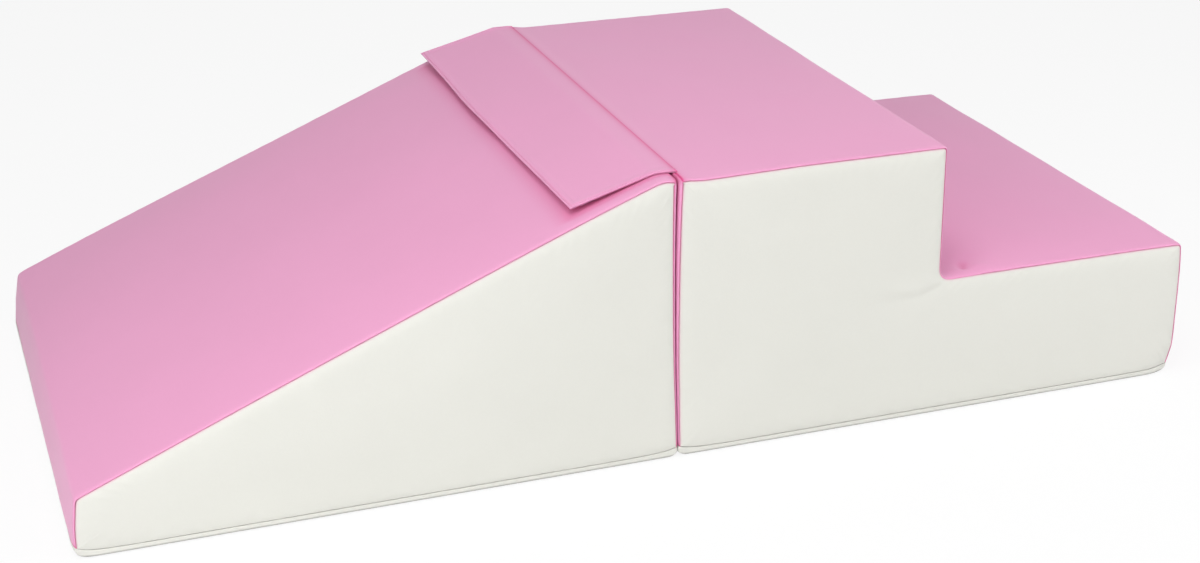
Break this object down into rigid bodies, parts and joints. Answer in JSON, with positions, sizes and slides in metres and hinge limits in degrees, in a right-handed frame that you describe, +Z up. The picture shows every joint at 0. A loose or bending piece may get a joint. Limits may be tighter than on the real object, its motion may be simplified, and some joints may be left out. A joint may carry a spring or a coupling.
{
  "type": "soft play foam climber",
  "caption": "Low foam climber for toddlers: a padded ramp and a padded step block in zipped coated covers, joined at the top by a cloth flap with a hook-and-loop strip",
  "frame": {"origin": "on the floor, in the middle of the climber's footprint", "axes": "+X runs from the ramp's toe to the low step, +Y across the blocks away from the side seen first, +Z up"},
  "size_m": [1.214, 0.61, 0.3094],
  "materials": {
    "ramp_foam": "grey foam, matt",
    "ramp_deck_cover": "pink satin coated cloth with a fine grain",
    "ramp_back_cover": "pink satin coated cloth with a fine grain",
    "ramp_side_near": "white satin coated cloth with a fine grain",
    "ramp_side_far": "white satin coated cloth with a fine grain",
    "ramp_base_cover": "white satin coated cloth with a fine grain",
    "ramp_zip_tape_near": "woven white tape",
    "ramp_zip_tape_far": "woven white tape",
    "ramp_zip_coil": "white nylon coil",
    "ramp_loop_tape": "woven hook-and-loop tape",
    "ramp_zip_slider": "cast zip slider, matt",
    "steps_lower_foam": "grey foam, matt",
    "steps_upper_foam": "grey foam, matt",
    "steps_tread_cover": "pink satin coated cloth with a fine grain",
    "steps_end_cover": "pink satin coated cloth with a fine grain",
    "steps_side_near": "white satin coated cloth with a fine grain",
    "steps_side_far": "white satin coated cloth with a fine grain",
    "steps_base_cover": "white satin coated cloth with a fine grain",
    "steps_zip_tape_near": "woven white tape",
    "steps_zip_tape_far": "woven white tape",
    "steps_zip_coil": "white nylon coil",
    "flap_sewn_edge": "pink satin coated cloth with a fine grain",
    "steps_zip_slider": "cast zip slider, matt",
    "flap_outer": "pink satin coated cloth with a fine grain",
    "flap_lining": "pink satin coated cloth with a fine grain",
    "flap_hook_tape": "woven hook-and-loop tape"
  },
  "bodies": {
    "ramp": {"ramp_foam": "ramp_foam", "ramp_deck_cover": "ramp_deck_cover", "ramp_back_cover": "ramp_back_cover", "ramp_side_near": "ramp_side_near", "ramp_side_far": "ramp_side_far", "ramp_base_cover": "ramp_base_cover", "ramp_zip_tape_near": "ramp_zip_tape_near", "ramp_zip_tape_far": "ramp_zip_tape_far", "ramp_zip_coil": "ramp_zip_coil", "ramp_loop_tape": "ramp_loop_tape"},
    "ramp_zip_slider": {"ramp_zip_slider": "ramp_zip_slider"},
    "steps": {"steps_lower_foam": "steps_lower_foam", "steps_upper_foam": "steps_upper_foam", "steps_tread_cover": "steps_tread_cover", "steps_end_cover": "steps_end_cover", "steps_side_near": "steps_side_near", "steps_side_far": "steps_side_far", "steps_base_cover": "steps_base_cover", "steps_zip_tape_near": "steps_zip_tape_near", "steps_zip_tape_far": "steps_zip_tape_far", "steps_zip_coil": "steps_zip_coil", "flap_sewn_edge": "flap_sewn_edge"},
    "steps_zip_slider": {"steps_zip_slider": "steps_zip_slider"},
    "flap": {"flap_outer": "flap_outer", "flap_lining": "flap_lining", "flap_hook_tape": "flap_hook_tape"}
  },
  "joints": [
    {"name": "steps_lift", "type": "slide", "parent": "ramp", "child": "steps", "axis": [0, 0, 1], "range_m": [0, 0.35]},
    {"name": "flap_hinge", "type": "hinge", "parent": "steps", "child": "flap", "pos_m": [0.0104, 0, 0.30878], "axis": [0, 1, 0], "range_deg": [0, 185]},
    {"name": "ramp_zip_slide", "type": "slide", "parent": "ramp", "child": "ramp_zip_slider", "axis": [1, 0, 0], "range_m": [0, 0.457]},
    {"name": "steps_zip_slide", "type": "slide", "parent": "steps", "child": "steps_zip_slider", "axis": [1, 0, 0], "range_m": [0, 0.442]}
  ]
}
